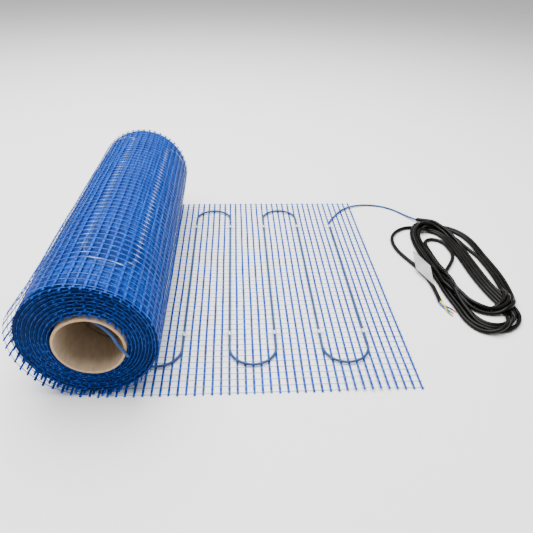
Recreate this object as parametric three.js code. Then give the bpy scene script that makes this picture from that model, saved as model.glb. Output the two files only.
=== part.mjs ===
// Underfloor heating mat, partly unrolled, in millimetres with +Z up.
// A blue plastic mesh carries a heating cable in wide bends. Most of it is wound on a
// cardboard core, and the unrolled end lies flat. The cable leaves the flat end as a free
// tail, and a splice joins it to a black flex that lies in a loose coil.
// The pieces are placed with X = 0 at the mesh's free side edge, Y = 0 at its front edge
// and Z = 0 on the floor. The last lines move the whole to the object's own origin.
import * as THREE from "three";

// Mesh: strands run along Y, the roll's axis, and thin cross threads along X.
const matWidth = 500;
const meshPitch = 10.48;
const strandWidth = 2;
const threadWidth = 1.2;
const meshHeight = 1.2;
const threadOverhang = 2.5; // past the outermost strand, at the free side edge
const threadStep = 2; // every other cross thread is a bar, and so are both edge threads
const panelCount = 4;

// Unrolled stretch, from the line where the roll touches the floor to the last strand.
const flatLength = 401;

// Roll: it is wound looser at the front, so it is a little wider there.
const rollRadiusFront = 83.6;
const rollRadiusBack = 78.6;
const rollSides = 40;
// How far each turn ends behind the mesh's edge, from the core outwards.
const frontTurnEnds = [12, 9.5, 11.5, 8, 9.5, 6, 3];
const backTurnEnds = [9, 6, 8, 4.5, 6.5, 3, 1];

// Cardboard core, seen at the front of the roll.
const coreBore = 76.4; // inside diameter
const coreWall = 3.2;
const coreLength = 490;
const coreSetback = 5; // its front rim, behind the mesh's edge
const coreSideways = 4.5; // off the roll's middle, towards the flat stretch
const coreHeight = 80; // its axis above the floor

// Heating cable, and its bends on the flat stretch.
const cableDiameter = 3.5;
const cableSides = 8;
const firstLegStrand = 5; // strands from the free edge to the first leg
const strandsPerBend = 6; // strands from one leg to the next
const frontApex = 47.4; // the front bends' outermost point, from the front edge
const backApex = 36.3; // the back bends' outermost point, from the back edge
const bendSteps = 8;
const tailSetback = 90; // where the free tail begins, from the back edge

// Adhesive fixing tapes, laid over the cable at the ends of the legs.
const tapeLength = 16;
const tapeWidth = 7;
const tapeThickness = 0.4;
const frontTapeOffset = 103; // from the front edge
const backTapeOffset = 96; // from the back edge

// Black connecting flex, its splice and its stripped end.
const flexDiameter = 6.6;
const spliceDiameter = 8;
const spliceLength = 34;
const spliceTaper = 4;
const coilHeight = 18;
const coilEdge = 3.3;
const wireDiameter = 2.5; // over the insulation
const copperDiameter = 1.8;
const copperLength = 6;

// Blank label, folded over the flex.
const labelLength = 49;
const labelWidth = 22.3;
const labelShear = -41; // how far its far edge is slid back along its length
const labelThickness = 0.5;
const labelCorner = [68.2, 252.5, 6.9];
const labelTurn = -71.2; // degrees from +X to its long edge
const labelTilt = 19.4; // degrees, its far edge raised

// Clearance between touching pieces.
const seat = 0.3;

const paint = (color, roughness, metalness = 0) =>
  new THREE.MeshStandardMaterial({ color, roughness, metalness });
const finishes = {
  mesh: paint(0x0a5fc4, 0.45),
  core: paint(0xb08d63, 0.9),
  cable: paint(0x3f6ba3, 0.5),
  tape: paint(0xe9edf0, 0.4),
  flex: paint(0x1c1c1c, 0.45),
  label: paint(0xeeeeec, 0.7),
  brown: paint(0x8a5a3c, 0.5),
  blue: paint(0x1e78d2, 0.5),
  earth: paint(0xb7cf2a, 0.5),
  copper: paint(0xc87f5a, 0.35, 1),
};

const mat = new THREE.Group();
function add(name, geometry, material) {
  const mesh = new THREE.Mesh(geometry, material);
  mesh.name = name;
  mat.add(mesh);
  return mesh;
}

// A closed surface from a list of corners and a list of faces, each a loop of corner
// numbers that runs anticlockwise seen from outside.
function surface(corners, faces) {
  const triangles = faces.flatMap((face) =>
    face.slice(2).flatMap((corner, i) => [face[0], face[i + 1], corner]),
  );
  return new THREE.BufferGeometry()
    .setAttribute("position", new THREE.Float32BufferAttribute(corners.flat(), 3))
    .setIndex(triangles);
}

// A route through given points with one section at each, square to the way it turns there.
class Route extends THREE.Curve {
  constructor(points) {
    super();
    this.points = points;
  }
  getPoint(t) {
    const place = t * (this.points.length - 1);
    const i = Math.min(Math.floor(place), this.points.length - 2);
    return this.points[i].clone().lerp(this.points[i + 1], place - i);
  }
  getPointAt(t) {
    return this.getPoint(t);
  }
  getTangentAt(t) {
    const last = this.points.length - 1;
    const i = Math.round(t * last);
    const before = this.points[Math.max(i, 1)].clone().sub(this.points[Math.max(i, 1) - 1]);
    const next = Math.min(i, last - 1);
    const after = this.points[next + 1].clone().sub(this.points[next]);
    return before.normalize().add(after.normalize()).normalize();
  }
}

function roundSection(diameter, sides) {
  const corners = Array.from({ length: sides }, (_, i) => {
    const angle = ((i + 0.5) * 2 * Math.PI) / sides;
    return new THREE.Vector2(Math.cos(angle), Math.sin(angle)).multiplyScalar(diameter / 2);
  });
  return new THREE.Shape(corners);
}

// A round tube through exactly the given points.
function tubeThrough(points, diameter, sides = cableSides) {
  return new THREE.ExtrudeGeometry(roundSection(diameter, sides), {
    steps: points.length - 1,
    extrudePath: new Route(points),
  });
}

// A round tube on one smooth curve, with a section every two and a half diameters.
function smoothTube(route, diameter, sides = cableSides) {
  const curve = new THREE.CatmullRomCurve3(route.map((p) => new THREE.Vector3(...p)));
  const steps = Math.ceil(curve.getLength() / (2.5 * diameter));
  return tubeThrough(curve.getSpacedPoints(steps), diameter, sides);
}

// Mesh panels
// A flat grid of three-sided bars, fused where they cross: two corners of each bar lie on
// the floor, and the ridges of both kinds of bar meet over each crossing.
function barGrid(strands, threads, sideEnds, frontEnds) {
  const corners = [];
  const faces = [];
  const halfStrand = strandWidth / 2;
  const halfThread = threadWidth / 2;
  const corner = (x, y, z) => corners.push([x, y, z]) - 1;
  const crossings = strands.map((x) =>
    threads.map((y) => ({
      ridge: corner(x, y, meshHeight),
      frontLeft: corner(x - halfStrand, y - halfThread, 0),
      frontRight: corner(x + halfStrand, y - halfThread, 0),
      backRight: corner(x + halfStrand, y + halfThread, 0),
      backLeft: corner(x - halfStrand, y + halfThread, 0),
    })),
  );
  // A bar runs from its start's left, ridge and right corners to its end's.
  const bar = (from, to) => {
    faces.push([from[0], from[1], to[1], to[0]]);
    faces.push([from[1], from[2], to[2], to[1]]);
    faces.push([from[2], from[0], to[0], to[2]]);
  };
  const strandTip = (x, y) => [
    corner(x - halfStrand, y, 0),
    corner(x, y, meshHeight),
    corner(x + halfStrand, y, 0),
  ];
  const threadTip = (x, y) => [
    corner(x, y + halfThread, 0),
    corner(x, y, meshHeight),
    corner(x, y - halfThread, 0),
  ];
  const front = (c) => [c.frontLeft, c.ridge, c.frontRight];
  const back = (c) => [c.backLeft, c.ridge, c.backRight];
  const left = (c) => [c.backLeft, c.ridge, c.frontLeft];
  const right = (c) => [c.backRight, c.ridge, c.frontRight];
  strands.forEach((x, i) => {
    const nearTip = strandTip(x, frontEnds[0]);
    const farTip = strandTip(x, frontEnds[1]);
    faces.push([...nearTip].reverse(), farTip);
    bar(nearTip, front(crossings[i][0]));
    bar(back(crossings[i].at(-1)), farTip);
    threads.slice(1).forEach((_, j) => bar(back(crossings[i][j]), front(crossings[i][j + 1])));
  });
  threads.forEach((y, j) => {
    const leftTip = threadTip(sideEnds[0], y);
    const rightTip = threadTip(sideEnds[1], y);
    faces.push([...leftTip].reverse(), rightTip);
    bar(leftTip, left(crossings[0][j]));
    bar(right(crossings.at(-1)[j]), rightTip);
    strands.slice(1).forEach((_, i) => bar(right(crossings[i][j]), left(crossings[i + 1][j])));
  });
  crossings.flat().forEach((c) =>
    faces.push([c.frontLeft, c.backLeft, c.backRight, c.frontRight]),
  );
  return surface(corners, faces);
}

// How far from its line of contact a round of this radius is a given height off the floor.
const nipReach = (radius, height) => Math.sqrt(radius ** 2 - (radius - height) ** 2);
const contactX = -flatLength;
const sheetEnd = contactX + nipReach(rollRadiusFront, meshHeight + seat);
const strandCount = Math.floor(-sheetEnd / meshPitch) + 1;
const threadCount = Math.floor(matWidth / meshPitch) + 1;
const firstThread = (matWidth - (threadCount - 1) * meshPitch) / 2;
const threads = Array.from({ length: threadCount }, (_, i) => i)
  .filter((i) => i % threadStep === 0 || i === threadCount - 1)
  .map((i) => firstThread + i * meshPitch);
const strandX = (i) => -i * meshPitch;

for (let panel = 0; panel < panelCount; panel += 1) {
  const first = Math.round((panel * strandCount) / panelCount);
  const end = Math.round(((panel + 1) * strandCount) / panelCount);
  const strands = Array.from({ length: end - first }, (_, i) => strandX(end - 1 - i));
  const freeSide = strandWidth / 2 + threadOverhang;
  const rightEnd = first === 0 ? freeSide : strandX(first - 0.5) - seat / 2;
  const leftEnd = end === strandCount ? sheetEnd : strandX(end - 0.5) + seat / 2;
  add(
    `mesh_panel_${panel + 1}`,
    barGrid(strands, threads, [leftEnd, rightEnd], [0, matWidth]),
    finishes.mesh,
  );
}

// Wound roll
const coreRadius = coreBore / 2 + coreWall;
const coreX = contactX + coreSideways;
const rollRadius = (y) =>
  THREE.MathUtils.lerp(rollRadiusFront, rollRadiusBack, y / matWidth);

// One closed body: rings run round the core at the bore and round the roll's own axis at
// its outside, and change evenly from one to the other in between.
function woundRoll() {
  const turns = frontTurnEnds.length;
  const steps = (ends, edge, inward) =>
    ends.flatMap((setback, i) => [
      [i / turns, edge + inward * setback],
      [(i + 1) / turns, edge + inward * setback],
    ]);
  const profile = [...steps(frontTurnEnds, 0, 1), ...steps(backTurnEnds, matWidth, -1).reverse()];
  const corners = profile.flatMap(([share, y]) => {
    const radius = THREE.MathUtils.lerp(coreRadius + seat, rollRadius(y), share);
    const x = THREE.MathUtils.lerp(coreX, contactX, share);
    const z = THREE.MathUtils.lerp(coreHeight, rollRadius(y), share);
    return Array.from({ length: rollSides }, (_, i) => {
      const angle = (i * 2 * Math.PI) / rollSides;
      return [x + radius * Math.sin(angle), y, z - radius * Math.cos(angle)];
    });
  });
  const faces = profile.flatMap((_, ring) =>
    Array.from({ length: rollSides }, (_, i) => {
      const here = ring * rollSides;
      const there = ((ring + 1) % profile.length) * rollSides;
      const next = (i + 1) % rollSides;
      return [here + i, there + i, there + next, here + next];
    }),
  );
  return surface(corners, faces);
}
add("mesh_roll", woundRoll(), finishes.mesh);

const coreSection = [
  [coreBore / 2, 0],
  [coreRadius, 0],
  [coreRadius, coreLength],
  [coreBore / 2, coreLength],
  [coreBore / 2, 0],
].map(([radius, y]) => new THREE.Vector2(radius, y));
add("cardboard_core", new THREE.LatheGeometry(coreSection, rollSides), finishes.core)
  .position.set(coreX, coreSetback, coreHeight);

// Heating cable on the flat stretch
const cableRadius = cableDiameter / 2;
const cableZ = meshHeight + seat + cableRadius;
const bendRadius = (strandsPerBend * meshPitch) / 2;
const frontBendY = frontApex + bendRadius;
const backBendY = matWidth - backApex - bendRadius;
// The legs that fit before the roll, and where a cable under the roll's side must end.
const cableReach =
  contactX + cableRadius + nipReach(rollRadiusFront, cableZ + cableRadius + tapeThickness + 2 * seat);
const legCount =
  Math.floor((-cableReach / meshPitch - firstLegStrand) / strandsPerBend) + 1;
const legX = (leg) => strandX(firstLegStrand + leg * strandsPerBend);

// Points on a bend that starts on one leg and turns towards the next, front or back.
function bendPoints(leg, atBack, turn = Math.PI) {
  const steps = Math.ceil((bendSteps * turn) / Math.PI);
  const side = atBack ? 1 : -1;
  return Array.from({ length: steps + 1 }, (_, i) => {
    const angle = (i * turn) / steps;
    return new THREE.Vector3(
      legX(leg) - bendRadius + bendRadius * Math.cos(angle),
      (atBack ? backBendY : frontBendY) + side * bendRadius * Math.sin(angle),
      cableZ,
    );
  });
}
const cableRoute = [new THREE.Vector3(legX(0), matWidth - tailSetback, cableZ)];
for (let leg = 0; leg < legCount - 1; leg += 1)
  cableRoute.push(...bendPoints(leg, leg % 2 === 1));
// The last bend turns towards the roll and ends where it would meet it.
const lastLeg = legCount - 1;
const room = legX(lastLeg) - cableReach;
const lastTurn = Math.acos(Math.max(1 - room / bendRadius, 0));
cableRoute.push(...bendPoints(lastLeg, lastLeg % 2 === 1, lastTurn));
if (room > bendRadius)
  cableRoute.push(cableRoute.at(-1).clone().setX(cableReach));
add("heating_cable", tubeThrough(cableRoute, cableDiameter), finishes.cable);

// Fixing tapes: two feet on the mesh and an arch over the cable.
function tapeArch() {
  const foot = meshHeight + seat;
  const inner = cableRadius + seat;
  const outer = inner + tapeThickness;
  const arch = new THREE.Shape()
    .moveTo(-tapeLength / 2, foot)
    .lineTo(-inner, foot)
    .lineTo(-inner, cableZ)
    .absarc(0, cableZ, inner, Math.PI, 0, true)
    .lineTo(inner, foot)
    .lineTo(tapeLength / 2, foot)
    .lineTo(tapeLength / 2, foot + tapeThickness)
    .lineTo(outer, foot + tapeThickness)
    .lineTo(outer, cableZ)
    .absarc(0, cableZ, outer, 0, Math.PI, false)
    .lineTo(-outer, foot + tapeThickness)
    .lineTo(-tapeLength / 2, foot + tapeThickness)
    .closePath();
  return new THREE.ExtrudeGeometry(arch, {
    depth: tapeWidth,
    bevelEnabled: false,
    curveSegments: 4,
  });
}
for (let leg = 0; leg < legCount; leg += 1)
  [frontTapeOffset, matWidth - backTapeOffset].forEach((y, i) => {
    const tape = add(`fixing_tape_${2 * leg + i + 1}`, tapeArch(), finishes.tape);
    tape.rotation.x = Math.PI / 2;
    tape.position.set(legX(leg), y + (i === 0 ? tapeWidth : 0), 0);
  });

// The cable's inner end: out between the core and the first turn, over the rim, and into
// the bore. Each point is a distance out from the bore's wall, degrees above the horizontal
// on the side of the flat stretch, and a place behind the core's rim.
const besideCore = coreWall + cableRadius + 2 * seat;
const cableEnd = [
  [besideCore, -25, 4.2],
  [besideCore, -19, -0.2],
  [coreWall - 0.6, -10, -2.6],
  [-0.8, -3, -2.7],
  [-4.8, 9, -1.6],
  [-5.8, 25, 0],
  [-5.6, 45, 1.6],
  [-4.8, 66, 4.4],
  [-3.6, 90, 10],
  [-3, 116, 19],
  [-3, 140, 33],
].map(([out, degrees, depth]) => {
  const angle = THREE.MathUtils.degToRad(degrees);
  const radius = coreBore / 2 + out;
  return [
    coreX + radius * Math.cos(angle),
    coreSetback + depth,
    coreHeight + radius * Math.sin(angle),
  ];
});
add("heating_cable_end", smoothTube(cableEnd, cableDiameter), finishes.cable);

// Free tail, from the last fixing on the mesh to the splice.
const tailRoute = [
  [-52.4, 410.6, 3.25],
  [-50.3, 418, 3.25],
  [-43.4, 430.5, 3.25],
  [-32.4, 447.5, 3.25],
  [-19.4, 464, 3.25],
  [-0.2, 478.7, 3.25],
  [17.7, 485.7, 3],
  [37.3, 488.5, 2.3],
  [65, 483, 1.9],
  [86.8, 468.5, 1.9],
  [103.7, 447.5, 2.3],
  [111.5, 435.3, 3.4],
  [119, 424, 4.9],
];
add("cable_tail", smoothTube(tailRoute, cableDiameter), finishes.cable);

// Splice, a heat-shrink sleeve with tapered ends.
const spliceStart = new THREE.Vector3(119.9, 422.8, 5);
const spliceWay = new THREE.Vector3(28.2, -20, 6).normalize();
const spliceSection = [
  [0, 0],
  [cableRadius + seat, 0],
  [spliceDiameter / 2, spliceTaper],
  [spliceDiameter / 2, spliceLength - spliceTaper],
  [flexDiameter / 2, spliceLength],
  [0, spliceLength],
].map(([radius, y]) => new THREE.Vector2(radius, y));
const splice = add("splice_sleeve", new THREE.LatheGeometry(spliceSection, 12), finishes.flex);
splice.position.copy(spliceStart);
splice.quaternion.setFromUnitVectors(new THREE.Vector3(0, 1, 0), spliceWay);

// Loose coil of the flex: the outline of its turns, and the gaps between them.
const coilOutline = [
  [102.4, 401],
  [102.4, 394],
  [97, 381],
  [92.5, 365],
  [90, 346],
  [88.5, 313],
  [91.5, 278],
  [94.5, 246],
  [97, 207],
  [101, 180],
  [102, 152],
  [101, 126],
  [107, 104],
  [121, 91],
  [140, 87.5],
  [163, 95],
  [184, 109],
  [195, 128],
  [202, 160],
  [209, 196],
  [209.5, 236],
  [208, 270],
  [210, 305],
  [209, 340],
  [200, 371],
  [180, 391],
  [164, 400],
  [150.1, 405.3],
  [146.4, 400],
  [141, 396.5],
  [131, 400.5],
  [119, 404.5],
  [108, 404.5],
];
const coilGaps = [
  [
    [119, 330],
    [132, 338],
    [146, 325],
    [150, 290],
    [151, 240],
    [155, 198],
    [160, 166],
    [148, 153],
    [132, 158],
    [121, 174],
    [116, 202],
    [114, 240],
    [114, 290],
  ],
  [
    [163, 381],
    [180, 366],
    [190, 342],
    [191, 314],
    [182, 318],
    [173, 340],
    [166, 362],
  ],
  [
    [178, 292],
    [188, 278],
    [192, 245],
    [190, 212],
    [183, 225],
    [179, 258],
  ],
  [
    [118, 124],
    [136, 128],
    [158, 123],
    [161, 113],
    [141, 106],
    [122, 112],
  ],
];
const closedSpline = (path, points) => {
  const curve = new THREE.CatmullRomCurve3(
    points.map(([x, y]) => new THREE.Vector3(x, y, 0)),
    true,
  );
  return path.setFromPoints(curve.getPoints(2 * points.length).slice(0, -1));
};
const coilShape = closedSpline(new THREE.Shape(), coilOutline);
coilShape.holes = coilGaps.map((gap) => closedSpline(new THREE.Path(), gap));
const coil = new THREE.ExtrudeGeometry(coilShape, {
  depth: coilHeight - 2 * coilEdge,
  bevelThickness: coilEdge,
  bevelSize: coilEdge,
  bevelOffset: -coilEdge,
  bevelSegments: 1,
});
add("cold_lead_coil", coil, finishes.flex).position.z = coilEdge;

// The flex's last stretch leaves the coil in a wide bend and ends cut square.
const flexRoute = [
  [101.2, 395.8, 4.2],
  [84.8, 391.8, 3.4],
  [64.8, 375, 3.3],
  [55.3, 358, 3.3],
  [51.8, 336.8, 3.3],
  [54.9, 312.2, 3.3],
  [62.2, 291.4, 3.3],
  [71.7, 268.6, 3.3],
  [79.8, 243, 3.3],
  [83, 212, 3.3],
  [82.4, 188, 3.3],
  [81, 169, 3.3],
];
add("cold_lead_end", smoothTube(flexRoute, flexDiameter), finishes.flex);

// Stripped wires: insulated first, then bare copper.
const wires = {
  blue: [
    [79.4, 168.2, 2.5],
    [80.2, 163.5, 2.3],
    [83, 158, 1.6],
    [86.5, 153, 1.4],
    [89.3, 149, 1.35],
  ],
  earth: [
    [81, 168.2, 5],
    [81.9, 163, 4.9],
    [83.6, 157.5, 4.8],
    [84.2, 152.5, 4],
    [84.5, 149.5, 2.4],
    [85.4, 146.2, 1.5],
    [87, 143, 1.4],
  ],
  brown: [
    [82.6, 168.2, 2.5],
    [84.3, 163.8, 2.2],
    [88, 159.5, 1.5],
    [91.8, 156.8, 1.35],
    [94.6, 152.5, 1.35],
  ],
};
for (const [colour, route] of Object.entries(wires)) {
  add(`${colour}_wire`, smoothTube(route, wireDiameter), finishes[colour]);
  const [before, end] = route.slice(-2).map((p) => new THREE.Vector3(...p));
  const way = end.clone().sub(before).normalize();
  const copperStart = end.clone().addScaledVector(way, seat);
  const copperEnd = end.clone().addScaledVector(way, seat + copperLength);
  add(
    `${colour}_copper`,
    tubeThrough([copperStart, copperEnd], copperDiameter),
    finishes.copper,
  );
}

// Blank label over the flex's last stretch, its far edge raised towards the coil.
const labelShape = new THREE.Shape()
  .moveTo(0, 0)
  .lineTo(labelLength, 0)
  .lineTo(labelLength + labelShear, labelWidth)
  .lineTo(labelShear, labelWidth)
  .closePath();
const label = add(
  "label_tag",
  new THREE.ExtrudeGeometry(labelShape, { depth: labelThickness, bevelEnabled: false }),
  finishes.label,
);
label.position.set(...labelCorner);
label.rotation.order = "ZXY";
label.rotation.z = THREE.MathUtils.degToRad(labelTurn);
label.rotation.x = THREE.MathUtils.degToRad(labelTilt);

// The origin is on the floor, under the middle of the roll and the mesh.
const leftmost = contactX - rollRadiusFront;
const rightmost = strandWidth / 2 + threadOverhang;
mat.position.set(-(leftmost + rightmost) / 2, -matWidth / 2, 0);

const part = new THREE.Group();
part.add(mat);
export default part;
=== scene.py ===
import math

import bpy
import numpy as np
from mathutils import Matrix


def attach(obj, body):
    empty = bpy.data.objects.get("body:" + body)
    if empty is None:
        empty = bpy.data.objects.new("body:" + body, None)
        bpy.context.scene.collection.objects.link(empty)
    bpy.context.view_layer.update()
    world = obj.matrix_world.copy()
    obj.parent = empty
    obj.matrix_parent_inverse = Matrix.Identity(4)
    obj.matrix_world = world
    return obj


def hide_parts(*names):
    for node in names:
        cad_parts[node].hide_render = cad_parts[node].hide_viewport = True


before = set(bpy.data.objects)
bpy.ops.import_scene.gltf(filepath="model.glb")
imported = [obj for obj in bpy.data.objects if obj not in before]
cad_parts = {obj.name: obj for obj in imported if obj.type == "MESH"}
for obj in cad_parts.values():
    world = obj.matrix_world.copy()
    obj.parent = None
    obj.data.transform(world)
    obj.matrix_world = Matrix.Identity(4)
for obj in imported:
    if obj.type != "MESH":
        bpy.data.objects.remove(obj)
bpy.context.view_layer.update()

# Lengths below are in millimetres: X from the mat's free side edge, Y from its front edge.
sheet = dict(width=500, pitch=10.48, firstThread=3.72, threadCount=48, overhang=3.5)
originShift = (240.55, -250, 0)
meshPitch = sheet["pitch"] / 1000  # in metres, for the materials


def place(points):
    # millimetres on the mat to metres in the frame
    return (np.asarray(points, float) + originShift) / 1000


def unit(vectors):
    return vectors / np.linalg.norm(vectors, axis=-1, keepdims=True)


def smooth(share):
    # eases from 0 to 1 as share goes from 0 to 1
    share = np.clip(share, 0, 1)
    return share * share * (3 - 2 * share)


def newPiece(name, points, quads, tris=(), values=None):
    # One closed mesh; its faces are turned round if its volume comes out negative.
    points = np.asarray(points, float).reshape(-1, 3)
    quads = np.asarray(quads, np.int64).reshape(-1, 4)
    tris = np.asarray(tris, np.int64).reshape(-1, 3)
    fans = np.concatenate([quads[:, :3], quads[:, [0, 2, 3]], tris])
    a, b, c = (points[fans[:, i]] for i in range(3))
    if np.einsum("ij,ij->", a, np.cross(b, c)) < 0:
        quads, tris = quads[:, ::-1], tris[:, ::-1]
    corners = np.concatenate([quads.ravel(), tris.ravel()])
    starts = np.concatenate(
        [np.arange(len(quads)) * 4, len(quads) * 4 + np.arange(len(tris)) * 3]
    )
    mesh = bpy.data.meshes.new(name)
    mesh.vertices.add(len(points))
    mesh.vertices.foreach_set("co", place(points).astype(np.float32).ravel())
    mesh.loops.add(len(corners))
    mesh.loops.foreach_set("vertex_index", corners.astype(np.int32))
    mesh.polygons.add(len(starts))
    mesh.polygons.foreach_set("loop_start", starts.astype(np.int32))
    mesh.polygons.foreach_set("use_smooth", np.full(len(starts), True))
    for label, numbers in (values or {}).items():
        attribute = mesh.attributes.new(label, "FLOAT", "POINT")
        attribute.data.foreach_set("value", np.asarray(numbers, np.float32).ravel())
    mesh.update(calc_edges=True)
    mesh.validate()
    piece = bpy.data.objects.new(name, mesh)
    bpy.context.scene.collection.objects.link(piece)
    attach(piece, "root")
    return piece


def ringFaces(copies, rings, sides):
    # Quads of several tubes, each a grid of rings and sides that closes round its sides.
    ring, side = np.meshgrid(np.arange(rings - 1), np.arange(sides), indexing="ij")
    ring, side = ring.ravel(), side.ravel()
    after = (side + 1) % sides
    here, further = ring * sides, (ring + 1) * sides
    one = np.stack([here + side, further + side, further + after, here + after], 1)
    if sides == 4:
        last = (rings - 1) * 4
        one = np.concatenate([one, [[0, 1, 2, 3], [last + 3, last + 2, last + 1, last]]])
    starts = np.arange(copies) * rings * sides
    return (starts[:, None, None] + one[None]).reshape(-1, 4)


def bars(paths, outward, width, height):
    # Four-sided bars: at each station of each path the corners are path + a * half the
    # width to the side + b * half the height along the outward vector, for four a and b.
    # paths and outward are arrays of copies, stations and three numbers.
    along = unit(np.gradient(paths, axis=1))
    side = unit(np.cross(along, outward))
    width = np.broadcast_to(np.asarray(width, float), paths.shape[:2])[..., None]
    height = np.broadcast_to(np.asarray(height, float), paths.shape[:2])[..., None]
    wide, high = side * width / 2, outward * height / 2
    shape = ((0.72, 1), (1, -0.3), (-1, -0.3), (-0.72, 1))
    corners = np.stack([paths + a * wide + b * high for a, b in shape], 2)
    copies, stations = paths.shape[:2]
    return corners.reshape(-1, 3), ringFaces(copies, stations, 4)


def closedGrid(shape):
    # Quads of a grid of points that closes on itself in both directions, like a ring.
    number = np.arange(shape[0] * shape[1]).reshape(shape)
    further, after = np.roll(number, -1, axis=0), np.roll(number, -1, axis=1)
    corner = np.roll(further, -1, axis=1)
    return np.stack([number, further, corner, after], -1).reshape(-1, 4)


def slabFaces(shape):
    # Quads of a thin slab: a grid of points for its face, the same grid again for its
    # back, and a wall round the rim.
    count = shape[0] * shape[1]
    number = np.arange(count).reshape(shape)
    top = np.stack([number[:-1, :-1], number[1:, :-1], number[1:, 1:], number[:-1, 1:]], -1)
    under = top[..., ::-1] + count
    rim = np.concatenate(
        [number[:, 0], number[-1, 1:], number[-2::-1, -1], number[0, -2:0:-1]]
    )
    after = np.roll(rim, -1)
    wall = np.stack([after, rim, rim + count, after + count], -1)
    return np.concatenate([top.reshape(-1, 4), under.reshape(-1, 4), wall])


def joinParts(parts):
    # Several lists of points and quads as one, with the quads renumbered.
    offsets = np.cumsum([0] + [len(points) for points, _ in parts[:-1]])
    return (
        np.concatenate([points for points, _ in parts]),
        np.concatenate([quads + offset for offset, (_, quads) in zip(offsets, parts)]),
    )


def splineThrough(knots, step):
    # A centripetal Catmull-Rom curve through the knots, then points a step apart on it.
    knots = np.asarray(knots, float)
    padded = np.concatenate([[2 * knots[0] - knots[1]], knots, [2 * knots[-1] - knots[-2]]])
    gaps = np.linalg.norm(np.diff(padded, axis=0), axis=1) ** 0.5
    times = np.concatenate([[0], np.cumsum(gaps)])
    fine = np.linspace(times[1], times[-2], 40 * len(knots))
    i = np.clip(np.searchsorted(times, fine, "right") - 1, 1, len(knots) - 1)
    p0, p1, p2, p3 = (padded[i + n] for n in (-1, 0, 1, 2))
    t0, t1, t2, t3, t = (x[:, None] for x in (*(times[i + n] for n in (-1, 0, 1, 2)), fine))
    a1 = (t1 - t) / (t1 - t0) * p0 + (t - t0) / (t1 - t0) * p1
    a2 = (t2 - t) / (t2 - t1) * p1 + (t - t1) / (t2 - t1) * p2
    a3 = (t3 - t) / (t3 - t2) * p2 + (t - t2) / (t3 - t2) * p3
    b1 = (t2 - t) / (t2 - t0) * a1 + (t - t0) / (t2 - t0) * a2
    b2 = (t3 - t) / (t3 - t1) * a2 + (t - t1) / (t3 - t1) * a3
    return evenly((t2 - t) / (t2 - t1) * b1 + (t - t1) / (t2 - t1) * b2, step)


def evenly(path, step):
    # Points a step apart along a path of straight pieces.
    gone = np.concatenate([[0], np.cumsum(np.linalg.norm(np.diff(path, axis=0), axis=1))])
    wanted = np.linspace(0, gone[-1], max(int(round(gone[-1] / step)), 2) + 1)
    return np.stack([np.interp(wanted, gone, path[:, i]) for i in range(3)], 1)


def tubePiece(name, path, radius, sides=16, lean=(0, 0, 1), cap=0.5):
    # Carries a circle along the path. Its two unit vectors are the path's direction
    # crossed with lean, and that vector crossed with the direction. Both ends close with
    # a rounded ring and a fan. "along" is the distance gone and "around" the angle.
    path = np.asarray(path, float)
    radius = np.broadcast_to(np.asarray(radius, float), len(path)).copy()
    direction = unit(np.gradient(path, axis=0))
    lean = np.broadcast_to(np.asarray(lean, float), path.shape)
    side = unit(np.cross(direction, lean))
    top = np.cross(side, direction)
    capped = [0, *range(len(path)), len(path) - 1]
    shift = np.zeros(len(capped))
    shift[[0, -1]] = -cap, cap
    spread = radius[capped].copy()
    spread[[0, -1]] -= cap
    centre = path[capped] + direction[capped] * shift[:, None]
    angle = np.arange(sides) * 2 * math.pi / sides
    across, upward = np.cos(angle)[None, :, None], np.sin(angle)[None, :, None]
    rings = centre[:, None] + spread[:, None, None] * (
        across * side[capped][:, None] + upward * top[capped][:, None]
    )
    count = len(capped) * sides
    points = np.concatenate([rings.reshape(-1, 3), centre[[0, -1]]])
    ring, after = np.arange(sides), (np.arange(sides) + 1) % sides
    last = (len(capped) - 1) * sides
    startFan = np.stack([np.full(sides, count), ring, after], 1)
    endFan = np.stack([np.full(sides, count + 1), last + after, last + ring], 1)
    tris = np.concatenate([startFan, endFan])
    gone = np.concatenate([[0], np.cumsum(np.linalg.norm(np.diff(centre, axis=0), axis=1))])
    along = np.concatenate([np.repeat(gone, sides), gone[[0, -1]]]) / 1000
    around = np.concatenate([np.tile(angle, len(capped)), [0, 0]])
    quads = ringFaces(1, len(capped), sides)[: (len(capped) - 1) * sides]
    return newPiece(name, points, quads, tris, {"along": along, "around": around})


def aim(thing, position, right, back):
    # Puts a camera or lamp in place, looking against its back vector.
    matrix = np.eye(4)
    matrix[:3, :3] = np.stack([right, np.cross(back, right), back], 1)
    matrix[:3, 3] = position
    thing.matrix_world = Matrix(matrix.tolist())
    bpy.context.scene.collection.objects.link(thing)


# Camera, at the photograph's angle
view = dict(
    position=(0.01025, -0.65943, 0.47513), yaw=0.0734696, pitch=0.605783, roll=0.0298473,
    lens=33.531,
)


def makeCamera():
    yaw, pitch, roll = view["yaw"], view["pitch"], view["roll"]
    level, dip = math.cos(pitch), math.sin(pitch)
    forward = np.array([math.sin(yaw) * level, math.cos(yaw) * level, -dip])
    right = np.array([math.cos(yaw), -math.sin(yaw), 0])
    up = np.cross(right, forward)
    turned = math.cos(roll) * right + math.sin(roll) * up
    camera = bpy.data.objects.new("camera", bpy.data.cameras.new("camera"))
    camera.data.lens = view["lens"]
    camera.data.clip_start = 0.02
    aim(camera, view["position"], turned, -forward)
    bpy.context.scene.camera = camera


makeCamera()
print("camera")

# Materials
bpyNodes = dict(
    noise="ShaderNodeTexNoise", ramp="ShaderNodeValToRGB",
    coordinates="ShaderNodeTexCoord", mapping="ShaderNodeMapping", bump="ShaderNodeBump",
    attribute="ShaderNodeAttribute", mix="ShaderNodeMix", maths="ShaderNodeMath",
    split="ShaderNodeSeparateXYZ", surface="ShaderNodeBsdfPrincipled",
)


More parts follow.
